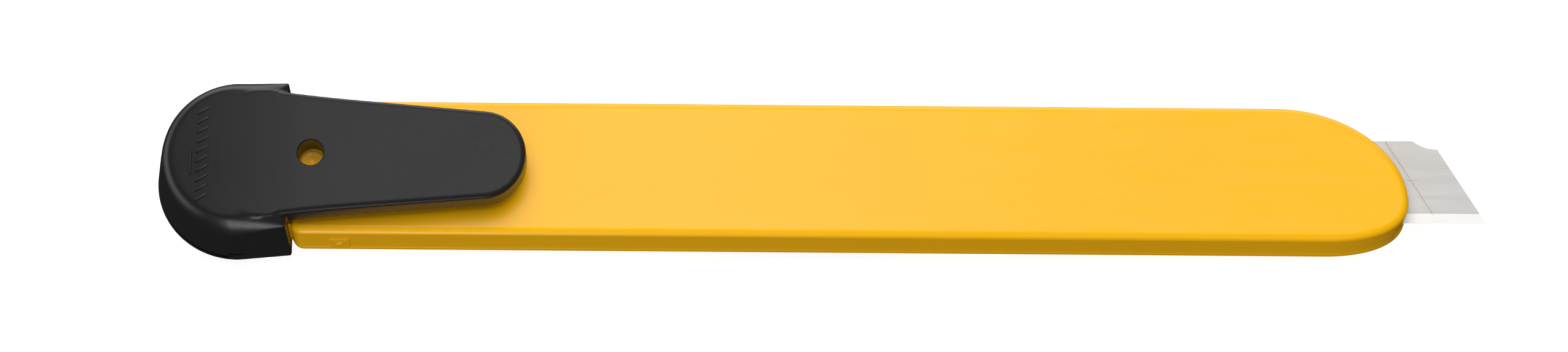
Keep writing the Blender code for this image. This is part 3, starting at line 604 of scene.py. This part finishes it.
def make_front_cover():
    """The thin plate with the slider's slot."""
    top = PARTING_Z - PARTING_GAP
    bottom = -HANDLE_DEPTH
    levels = rounded_levels(bottom, top, FRONT_EDGE_RADIUS, PARTING_CHAMFER, 8)
    cover = plate("handle_front_cover", handle_outline(), levels, steps=40)
    rim = rounded_levels(TENON_BOTTOM_Z, top, TENON_EDGE_RADIUS, 0.0)[: ROUND_STEPS + 1]
    join(cover, plate("tenon", tenon_outline(), rim + [(top, 0.0)], 8))
    half = SLOT_WIDTH / 2
    corner = SLOT_CORNER_RADIUS
    rear = TENON_REAR_X - OVERSHOOT
    slot = [
        Corner(rear, -half),
        Corner(SLOT_FRONT_X, -half, corner, corner),
        Corner(SLOT_FRONT_X, half, corner, corner),
        Corner(rear, half),
    ]
    cut(cover, plate("slot", slot, flared_levels(bottom, top, SLOT_EDGE, SLOT_INNER_EDGE), 10))
    soften(cover)
    return cover


# ---------------------------------------------------------------- blade and button


def make_blade():
    """The scored strip with its ground edge."""
    half = BLADE_THICKNESS / 2
    levels = [(BLADE_Z - half, 0.0), (BLADE_Z + half, 0.0)]
    blade = plate("blade_strip", blade_outline(), levels, 24)
    cut(blade, make_grind_cutter(-1), make_grind_cutter(1), make_score_cutter())
    hole = circle_corners(TAIL_HOLE_X, 0.0, TAIL_HOLE_RADIUS)
    cut(blade, plate("tail_hole", hole, [(BLADE_Z - OVERSHOOT, 0.0), (BLADE_Z + OVERSHOOT, 0.0)]))
    soften(blade, BLADE_SOFT_ANGLE)
    return blade


def make_grind_cutter(face):
    """The wedge that grinding takes off the lower face (-1) or the upper one (1)."""
    half = BLADE_THICKNESS / 2
    edge = EDGE_THICKNESS / 2
    slope = (half - edge) / BLADE_BEVEL
    outside = HALF_BLADE + OVERSHOOT
    profile = [
        (-HALF_BLADE + BLADE_BEVEL, face * half),
        (-outside, face * (edge - OVERSHOOT * slope)),
        (-outside, face * OVERSHOOT),
        (-HALF_BLADE + BLADE_BEVEL, face * OVERSHOOT),
    ]
    ends = (BLADE_TIP_X - BLADE_LENGTH - 2 * OVERSHOOT, BLADE_TIP_X + 2 * OVERSHOOT)
    return ring_solid("grind", [[Vector((x, y, BLADE_Z + z)) for y, z in profile] for x in ends])


def make_score_cutter():
    """Square bars on edge, half sunk in both faces, parallel to the blade's slanted tip."""
    shape = bmesh.new()
    lean = 1 / math.tan(BLADE_ANGLE)
    length = (2 * HALF_BLADE + 2 * OVERSHOOT) / math.sin(BLADE_ANGLE)
    turn = Matrix.Rotation(math.pi - BLADE_ANGLE, 4, "Z")
    on_edge = Matrix.Rotation(math.pi / 4, 4, "X")
    side = SCORE_WIDTH / math.sqrt(2)
    rise = BLADE_THICKNESS / 2 - SCORE_DEPTH + SCORE_WIDTH / 2
    size = Matrix.Diagonal((length, side, side, 1.0))
    for i in range(SCORE_COUNT):
        x = BLADE_TIP_X - HALF_BLADE * lean - (i + 1) * SEGMENT
        for face in (-1, 1):
            place = Matrix.Translation((x, 0.0, BLADE_Z + face * rise))
            bmesh.ops.create_cube(shape, size=1.0, matrix=place @ turn @ on_edge @ size)
    return to_object("score_lines", shape)


def make_thumb_button():
    """The ribbed pad and its stem."""
    corners = rectangle_corners(SLIDER_X, 0.0, BUTTON_LENGTH, BUTTON_WIDTH, BUTTON_CORNER_RADIUS)
    levels = rounded_levels(BUTTON_OUTER_Z, BUTTON_INNER_Z, BUTTON_EDGE_RADIUS, BUTTON_INNER_EDGE)
    pad = plate("thumb_button_pad", corners, levels, 12)
    stem = rectangle_corners(SLIDER_X, 0.0, STEM_LENGTH, STEM_WIDTH, STEM_CORNER_RADIUS)
    stem_levels = [(BUTTON_INNER_Z - OVERSHOOT / 2, 0.0), (STEM_TOP_Z, 0.0)]
    join(pad, plate("stem", stem, stem_levels, 4))
    for i in range(GROOVE_COUNT):
        x = SLIDER_X + (i - (GROOVE_COUNT - 1) / 2) * GROOVE_PITCH
        cut(pad, make_groove_cutter(x))
    rounded = pad.modifiers.new("rib_edges", "BEVEL")
    rounded.width = RIB_EDGE
    rounded.segments = 2
    rounded.limit_method = "ANGLE"
    rounded.angle_limit = RIB_ANGLE
    soften(pad)
    return pad


def make_groove_cutter(x):
    """A bar across the pad with a round-bottomed V section."""
    half = GROOVE_WIDTH / 2
    reach_up = GROOVE_ROUND * half
    reach_in = reach_up / 2
    outside = BUTTON_OUTER_Z - GROOVE_DEPTH
    bottom = BUTTON_OUTER_Z + GROOVE_DEPTH
    profile = [
        Corner(x - 2 * half, outside),
        Corner(x + 2 * half, outside),
        Corner(x + reach_in, bottom, reach_up, reach_in),
        Corner(x - reach_in, bottom, reach_in, reach_up),
    ]
    reach = BUTTON_WIDTH / 2 + OVERSHOOT
    return upright(plate("groove", profile, [(-reach, 0.0), (reach, 0.0)], 5), 0.0)


def make_lock_spring():
    """The bowed leaf between the carrier and the thumb button's foot."""
    reach = (SPRING_HIGH.x - SPRING_LOW.x) / 2
    crown = SPRING_LOW.z - DESIGN_ORIGIN.z
    bow = SPRING_HIGH.z - SPRING_LOW.z - SPRING_SHEET
    low = []
    for i in range(SPRING_STEPS + 1):
        share = 2 * i / SPRING_STEPS - 1
        low.append(Vector((SLIDER_X + share * reach, crown + bow * share * share)))
    high = [point + Vector((0.0, SPRING_SHEET)) for point in reversed(low)]
    corners = [Corner(point.x, point.y) for point in low + high]
    sides = [(SPRING_LOW.y, 0.0), (SPRING_HIGH.y, 0.0)]
    leaf = upright(plate("lock_spring_leaf", corners, sides), 0.0)
    soften(leaf)
    return leaf


# ---------------------------------------------------------------- end cap


def shoulder(point):
    """The head's shoulder at this point of its outline: how far the wall under it leans in, the
    shoulder's top and drop, and its share of straight slope."""
    forward = max(0.0, point.x / HEAD_FRONT_X)
    lean = REAR_LEAN * max(0.0, 1 - REAR_LEAN_FADE * forward) ** REAR_LEAN_CURVE
    top = HEAD_TOP_Z - LEDGE_STEP * max(0.0, forward - LEDGE_START)
    front_drop = FRONT_DROP + FRONT_FALL * (HEAD_FRONT_X - point.x)
    rear_drop = REAR_DROP + REAR_FALL * max(0.0, point.x)
    drop = (front_drop**-DROP_BLEND + rear_drop**-DROP_BLEND) ** (-1 / DROP_BLEND)
    straight = SHOULDER_STRAIGHT * min(1.0, STRAIGHT_GROWTH * forward) ** 2
    return lean, top, drop, straight


def make_head():
    """The round head. Its shoulder is shallow at the front and falls away towards the rear."""
    points = outline_points(head_outline(), 48)
    shoulders = [shoulder(point) for point in points]
    rings = []
    rim = rounded_levels(HEAD_BOTTOM_Z, 0.0, HEAD_BOTTOM_EDGE, 0.0)[: ROUND_STEPS + 1]
    for height, inset in rim:
        ring = inset_ring(points, [inset] * len(points))
        rings.append([Vector((*p, height)) for p in ring])
    for i in range(SHOULDER_STEPS + 1):
        share = i / SHOULDER_STEPS
        turn = math.pi / 2 * share
        insets = []
        heights = []
        for lean, top, drop, straight in shoulders:
            across = straight * share + (1 - straight) * (1 - math.cos(turn))
            above = straight * share + (1 - straight) * math.sin(turn)
            insets.append(lean + SHOULDER_WIDTH * across)
            heights.append(top - drop * (1 - above))
        ring = inset_ring(points, insets)
        rings.append([Vector((*p, z)) for p, z in zip(ring, heights)])
    inner = inset_ring(points, [inset + LEDGE_WIDTH for inset in insets])
    rings.append([Vector((*p, HEAD_TOP_Z)) for p in inner])
    return ring_solid("end_cap_moulding", rings)


def make_end_cap():
    """Head and clip melted into one moulding, then the socket, hole and snapping slit cut in."""
    cap = make_head()
    levels = rounded_levels(CLIP_BOTTOM_Z, HEAD_TOP_Z, CLIP_BOTTOM_EDGE, CLIP_TOP_EDGE, 6)
    gather(cap, plate("tongue", clip_outline(), levels, 14))
    remesh = cap.modifiers.new("moulding", "REMESH")
    remesh.mode = "VOXEL"
    remesh.voxel_size = CAP_VOXEL
    smooth = cap.modifiers.new("soft", "SMOOTH")
    smooth.iterations = CAP_SMOOTHING
    smooth.factor = 0.5
    apply_modifiers(cap)
    for vertex in cap.data.vertices:
        height = max(0.0, vertex.co.z / HEAD_TOP_Z)
        vertex.co.z -= height * top_fall(vertex.co.x)
    hole = circle_corners(BOSS_X, 0.0, CLIP_HOLE_RADIUS)
    hole_levels = flared_levels(CLIP_BOTTOM_Z, HEAD_TOP_Z, CLIP_HOLE_EDGE, CLIP_HOLE_EDGE)
    cut(cap, make_socket_cutter(), plate("hole", hole, hole_levels, 16), make_slit_cutter())
    bottom = -HEAD_RADIUS + RECESS_DEPTH
    low = (RECESS_X - RECESS_LENGTH / 2, -2 * HEAD_RADIUS, RECESS_Z - RECESS_HEIGHT / 2)
    high = (RECESS_X + RECESS_LENGTH / 2, bottom, RECESS_Z + RECESS_HEIGHT / 2)
    cut(cap, box("recess", low, high))
    add_marks(cap)
    soften(cap, CAP_SOFT_ANGLE)
    return cap


def top_fall(x):
    """How far the cap's top has fallen away at this x."""
    behind = max(0.0, CROWN_START_X - x)
    return CROWN_CURVE * behind * behind


def add_marks(cap):
    """Raised slanted bars in place of lettering, and the pointer to the slit."""
    top = HEAD_TOP_Z - top_fall(MARK_X)
    levels = rounded_levels(top - MARK_ROOT, top + MARK_RISE, 0.0, MARK_EDGE, 3)
    for i in range(MARK_COUNT):
        bar = rectangle_corners(0.0, 0.0, MARK_LENGTH, MARK_WIDTH, MARK_CORNER_RADIUS)
        mark = plate("mark", bar, levels, 3)
        place = Matrix.Translation((MARK_X, MARK_FAR_Y - i * MARK_PITCH, 0.0))
        mark.data.transform(place @ Matrix.Rotation(BLADE_ANGLE / 2, 4, "Z"))
        join(cap, mark)
    bar = rectangle_corners(
        POINTER_X, POINTER_Y, POINTER_WIDTH, POINTER_LENGTH, POINTER_CORNER_RADIUS
    )
    join(cap, plate("pointer", bar, levels, 3))
    cut(cap, make_pointer_groove(top))


def make_pointer_groove(top):
    """A slanted slot, as deep as it is wide, from the pointer's near end rearwards."""
    half = POINTER_GROOVE_WIDTH / 2
    low = (-POINTER_GROOVE_LENGTH, -half, top - POINTER_GROOVE_WIDTH)
    high = (0.0, half, top + OVERSHOOT)
    groove = box("groove", low, high)
    start = Matrix.Translation((POINTER_X, POINTER_Y - POINTER_LENGTH / 2, 0.0))
    groove.data.transform(start @ Matrix.Rotation(POINTER_GROOVE_TURN, 4, "Z"))
    return groove


def make_socket_cutter():
    """The tenon's pocket, with a rounded mouth."""
    low, high = TENON_BOTTOM_Z - SOCKET_CLEARANCE, TENON_TOP_Z + SOCKET_CLEARANCE
    width = TENON_WIDTH + 2 * SOCKET_CLEARANCE
    corners = rectangle_corners(0.0, (low + high) / 2, width, high - low, SOCKET_CORNER_RADIUS)
    levels = flared_levels(SOCKET_REAR_X, HEAD_FRONT_X, 0.0, SOCKET_EDGE)
    levels = [level for level in levels if level[0] >= SOCKET_REAR_X]
    cutter = plate("socket", corners, levels, 6)
    lengthwise = Matrix.Rotation(math.pi / 2, 4, "Z") @ Matrix.Rotation(math.pi / 2, 4, "X")
    cutter.data.transform(lengthwise)
    return cutter


def make_slit_cutter():
    """A flat slot that comes in from the rear of the head, turned towards its near side."""
    shape = bmesh.new()
    depth = HEAD_RADIUS + OVERSHOOT - SNAP_SLIT_INNER
    height = SNAP_SLIT_TOP_Z - SNAP_SLIT_BOTTOM_Z
    centre = (HEAD_RADIUS, 0.0, (SNAP_SLIT_TOP_Z + SNAP_SLIT_BOTTOM_Z) / 2)
    outwards = Matrix.Translation((SNAP_SLIT_INNER + depth / 2, 0.0, 0.0))
    size = Matrix.Diagonal((depth, 2 * HEAD_RADIUS, height, 1.0))
    turn = Matrix.Rotation(SNAP_SLIT_TURN, 4, "Z")
    place = Matrix.Translation(centre) @ turn @ outwards @ size
    bmesh.ops.create_cube(shape, size=1.0, matrix=place)
    return to_object("slit", shape)


# ---------------------------------------------------------------- materials


def set_range(node, start, end, low, high):
    """Sets a map range node to map start to end onto low to high."""
    for name, number in zip(("From Min", "From Max", "To Min", "To Max"), (start, end, low, high)):
        node.inputs[name].default_value = number


class Look:
    """A material whose nodes are added one after another."""

    def __init__(self, name, roughness, metallic=0.0):
        self.material = bpy.data.materials.new(name)
        self.material.use_nodes = True
        self.tree = self.material.node_tree
        self.shader = self.tree.nodes["Principled BSDF"]
        self.shader.inputs["Roughness"].default_value = roughness
        self.shader.inputs["Metallic"].default_value = metallic
        self.place = self.add("ShaderNodeTexCoord").outputs["Object"]

    def add(self, kind, **settings):
        """Adds a node of this kind with these properties."""
        node = self.tree.nodes.new(kind)
        for name, value in settings.items():
            setattr(node, name, value)
        return node

    def link(self, source, target):
        self.tree.links.new(source, target)

    def noise(self, scale, detail=3.0, stretch=(1.0, 1.0, 1.0)):
        """Noise with this many cells in a metre, finer along the axes with a larger stretch."""
        mapping = self.add("ShaderNodeMapping")
        mapping.inputs["Scale"].default_value = stretch
        self.link(self.place, mapping.inputs["Vector"])
        noise = self.add("ShaderNodeTexNoise")
        noise.inputs["Scale"].default_value = scale
        noise.inputs["Detail"].default_value = detail
        self.link(mapping.outputs["Vector"], noise.inputs["Vector"])
        return noise.outputs["Fac"]

    def spread(self, value, low, high, start=0.3, end=0.7):
        """Maps a value that runs from start to end, as noise does, onto low to high."""
        node = self.add("ShaderNodeMapRange")
        set_range(node, start, end, low, high)
        self.link(value, node.inputs["Value"])
        return node.outputs["Result"]

    def colour(self, value, first, second):
        """Mixes two colours by a value from 0 to 1. Each is three numbers or a node's output."""
        node = self.add("ShaderNodeMix", data_type="RGBA")
        for name, colour in (("A", first), ("B", second)):
            if isinstance(colour, tuple):
                node.inputs[name].default_value = (*colour, 1.0)
            else:
                self.link(colour, node.inputs[name])
        self.link(value, node.inputs["Factor"])
        return node.outputs["Result"]

    def bump(self, height, strength, distance, previous=None):
        """Bumps of this height on top of the previous ones."""
        node = self.add("ShaderNodeBump")
        node.inputs["Strength"].default_value = strength
        node.inputs["Distance"].default_value = distance
        self.link(height, node.inputs["Height"])
        if previous is not None:
            self.link(previous, node.inputs["Normal"])
        return node.outputs["Normal"]

    def use(self, **outputs):
        """Links outputs to the shader's inputs of the same name."""
        for name, output in outputs.items():
            self.link(output, self.shader.inputs[name.replace("_", " ").title()])


def yellow_plastic():
    """Glossy, with hardly visible lengthwise scuffs and moulding grain."""
    look = Look("yellow_plastic", roughness=0.3)
    cloud = look.noise(scale=45.0, detail=2.0)
    tint = look.colour(look.spread(cloud, 0.0, 1.0), *YELLOW)
    scuff = look.noise(scale=900.0, detail=4.0, stretch=(0.15, 1.0, 1.0))
    grain = look.noise(scale=2600.0, detail=2.0)
    normal = look.bump(grain, strength=0.06, distance=0.02 * MM)
    look.use(Base_Color=tint, Roughness=look.spread(scuff, 0.17, 0.24), Normal=normal)
    return look.material


def black_plastic():
    """Satin, with a fine grain."""
    look = Look("black_plastic", roughness=0.3)
    look.shader.inputs["Specular IOR Level"].default_value = 0.68
    cloud = look.noise(scale=120.0)
    tint = look.colour(look.spread(cloud, 0.0, 1.0), *BLACK)
    grain = look.noise(scale=5200.0)
    normal = look.bump(grain, strength=0.16, distance=0.02 * MM)
    look.use(Base_Color=tint, Roughness=look.spread(grain, 0.28, 0.36), Normal=normal)
    return look.material


def blade_steel():
    """Fine lengthwise grinding, and a painted highlight along the cutting edge: its ground bevel is
    coloured lighter and made less metallic.
    """
    look = Look("blade_steel", roughness=0.3, metallic=0.45)
    streak = look.noise(scale=1500.0, stretch=(0.05, 1.0, 1.0))
    flat = look.colour(look.spread(streak, 0.0, 1.0), *BLADE_FLAT)
    place = look.add("ShaderNodeSeparateXYZ")
    look.link(look.place, place.inputs["Vector"])
    grind_line = -HALF_BLADE + BLADE_BEVEL
    # painted highlight: the bevel below the grind line gets a lighter colour and less metal
    ground = look.spread(place.outputs["Y"], 1.0, 0.0, grind_line - GRIND_BLUR, grind_line)
    tint = look.colour(ground, flat, BLADE_EDGE_HIGHLIGHT)
    scratch = look.noise(scale=2200.0, detail=2.0, stretch=(1.0, 0.08, 1.0))
    normal = look.bump(streak, strength=0.05, distance=0.01 * MM)
    normal = look.bump(scratch, strength=0.03, distance=0.01 * MM, previous=normal)
    look.use(
        Base_Color=tint,
        Metallic=look.spread(ground, 0.45, 0.15, 0.0, 1.0),
        Roughness=look.spread(streak, 0.26, 0.36),
        Normal=normal,
    )
    return look.material


def sheet_steel():
    """Rolled sheet with lengthwise streaks."""
    look = Look("sheet_steel", roughness=0.35, metallic=1.0)
    streak = look.noise(scale=2500.0, stretch=(0.08, 1.0, 1.0))
    tint = look.colour(look.spread(streak, 0.0, 1.0), *SHEET)
    normal = look.bump(streak, strength=0.08, distance=0.01 * MM)
    look.use(Base_Color=tint, Roughness=look.spread(streak, 0.28, 0.42), Normal=normal)
    return look.material


# ---------------------------------------------------------------- studio


def make_camera():
    """Looks down on the handle's back from a little in front, with a long lens."""
    camera_data = bpy.data.cameras.new("camera")
    camera_data.sensor_width = SENSOR_WIDTH
    camera_data.lens = SENSOR_WIDTH * CAMERA_DISTANCE / VIEW_WIDTH
    camera_data.clip_start = 0.01
    camera = bpy.data.objects.new("camera", camera_data)
    towards = Vector((0.0, -math.cos(CAMERA_ELEVATION), math.sin(CAMERA_ELEVATION)))
    tilt = Matrix.Rotation(math.pi / 2 - CAMERA_ELEVATION, 4, "X")
    roll = Matrix.Rotation(CAMERA_ROLL, 4, "Z")
    place = Matrix.Translation(VIEW_TARGET + towards * CAMERA_DISTANCE)
    camera.matrix_world = place @ tilt @ roll
    bpy.context.scene.collection.objects.link(camera)
    bpy.context.scene.camera = camera


def make_lamp(name, place, target, sides, radiance, mirrored):
    """A rectangular lamp that sends out this radiance, aimed at the target. Glossy surfaces show
    it only if it is mirrored."""
    lamp = bpy.data.lights.new(name, "AREA")
    lamp.shape = "RECTANGLE"
    lamp.size, lamp.size_y = sides
    lamp.energy = radiance * math.pi * sides[0] * sides[1]
    thing = bpy.data.objects.new(name, lamp)
    direction = Vector(target) - Vector(place)
    turn = direction.to_track_quat("-Z", "Y").to_matrix().to_4x4()
    thing.matrix_world = Matrix.Translation(place) @ turn
    thing.visible_camera = False
    thing.visible_glossy = mirrored
    bpy.context.scene.collection.objects.link(thing)


def make_world():
    """The room around the knife: bright low down behind it and to its left, dim elsewhere. The
    camera itself sees a plain pale background."""
    world = bpy.data.worlds.new("studio")
    bpy.context.scene.world = world
    world.use_nodes = True
    tree = world.node_tree
    tree.nodes.clear()

    def ranged(source, start, end, low, high):
        made = tree.nodes.new("ShaderNodeMapRange")
        made.interpolation_type = "SMOOTHSTEP"
        set_range(made, start, end, low, high)
        tree.links.new(source, made.inputs["Value"])
        return made.outputs["Result"]

    def combined(operation, first, second):
        made = tree.nodes.new("ShaderNodeMath")
        made.operation = operation
        tree.links.new(first, made.inputs[0])
        tree.links.new(second, made.inputs[1])
        return made.outputs["Value"]

    direction = tree.nodes.new("ShaderNodeTexCoord").outputs["Generated"]
    split = tree.nodes.new("ShaderNodeSeparateXYZ")
    tree.links.new(direction, split.inputs["Vector"])
    along, across, up = split.outputs["X"], split.outputs["Y"], split.outputs["Z"]

    # Each part of the room has a direction where it starts and one where it is full
    rear_wall = ranged(across, 0.6, 0.95, 0.0, 1.5)
    behind = combined("MULTIPLY", rear_wall, ranged(up, -0.9, -0.2, 0.0, 1.0))
    above_ground = ranged(up, -0.6, -0.15, 0.0, 1.0)
    band = combined("MULTIPLY", above_ground, ranged(up, 0.1, 0.4, 1.0, 0.0))
    left = combined("MULTIPLY", ranged(along, -0.95, -0.5, 1.2, 0.0), band)
    room = combined("ADD", combined("ADD", behind, left), ranged(up, -0.9, 0.0, 0.02, 0.06))
    lit = tree.nodes.new("ShaderNodeBackground")
    tree.links.new(room, lit.inputs["Strength"])
    seen = tree.nodes.new("ShaderNodeBackground")
    paths = tree.nodes.new("ShaderNodeLightPath")
    mixed = tree.nodes.new("ShaderNodeMixShader")
    tree.links.new(paths.outputs["Is Camera Ray"], mixed.inputs["Fac"])
    tree.links.new(lit.outputs["Background"], mixed.inputs[1])
    tree.links.new(seen.outputs["Background"], mixed.inputs[2])
    output = tree.nodes.new("ShaderNodeOutputWorld")
    tree.links.new(mixed.outputs["Shader"], output.inputs["Surface"])


def make_floor():
    """A plain white ground that only the camera sees, and only from above."""
    shape = bmesh.new()
    reach = FLOOR_REACH
    corners = [(-reach, -reach), (reach, -reach), (reach, reach), (-reach, reach)]
    shape.faces.new([shape.verts.new((x, y, FLOOR_Z)) for x, y in corners])
    floor = to_object("floor", shape)
    material = bpy.data.materials.new("floor")
    material.use_nodes = True
    tree = material.node_tree
    shader = tree.nodes["Principled BSDF"]
    shader.inputs["Base Color"].default_value = (FLOOR_GREY, FLOOR_GREY, FLOOR_GREY, 1.0)
    shader.inputs["Roughness"].default_value = 1.0
    shader.inputs["Specular IOR Level"].default_value = 0.0
    shader.inputs["Emission Color"].default_value = (1.0, 1.0, 1.0, 1.0)
    shader.inputs["Emission Strength"].default_value = FLOOR_GLOW
    side = tree.nodes.new("ShaderNodeNewGeometry")
    clear = tree.nodes.new("ShaderNodeBsdfTransparent")
    mixed = tree.nodes.new("ShaderNodeMixShader")
    tree.links.new(side.outputs["Backfacing"], mixed.inputs["Fac"])
    tree.links.new(shader.outputs["BSDF"], mixed.inputs[1])
    tree.links.new(clear.outputs["BSDF"], mixed.inputs[2])
    tree.links.new(mixed.outputs["Shader"], tree.nodes["Material Output"].inputs["Surface"])
    floor.data.materials.append(material)
    floor.visible_glossy = False
    floor.visible_diffuse = False
    floor.visible_shadow = False


def make_studio():
    """Camera, room, ground and lamps, with plain colours."""
    bpy.context.scene.view_settings.view_transform = "Standard"
    make_camera()
    make_world()
    make_floor()
    for lamp in LAMPS:
        make_lamp(*lamp)


# ---------------------------------------------------------------- assembly


yellow = yellow_plastic()
black = black_plastic()
finish_piece(make_back_shell(), "handle", "handle_plastic", yellow, "back_shell")
finish_piece(make_front_cover(), "handle", "handle_plastic", yellow, "front_cover")
finish_piece(make_end_cap(), "cap", "black_plastic", black, "end_cap")
finish_piece(make_blade(), "slider", "blade_steel", blade_steel(), "blade")
finish_piece(make_thumb_button(), "button", "black_plastic", black, "thumb_button")

steel = sheet_steel()
spring = finish_piece(make_lock_spring(), "slider", "sheet_steel", steel, "lock_spring")
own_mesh(spring)

# The steel parts that hardly show keep their CAD shape
for name in ("blade_guide", "blade_carrier", "carrier_stud", "lock_plate"):
    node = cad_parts[name]
    node.data.materials.clear()
    node.data.materials.append(steel)

make_studio()
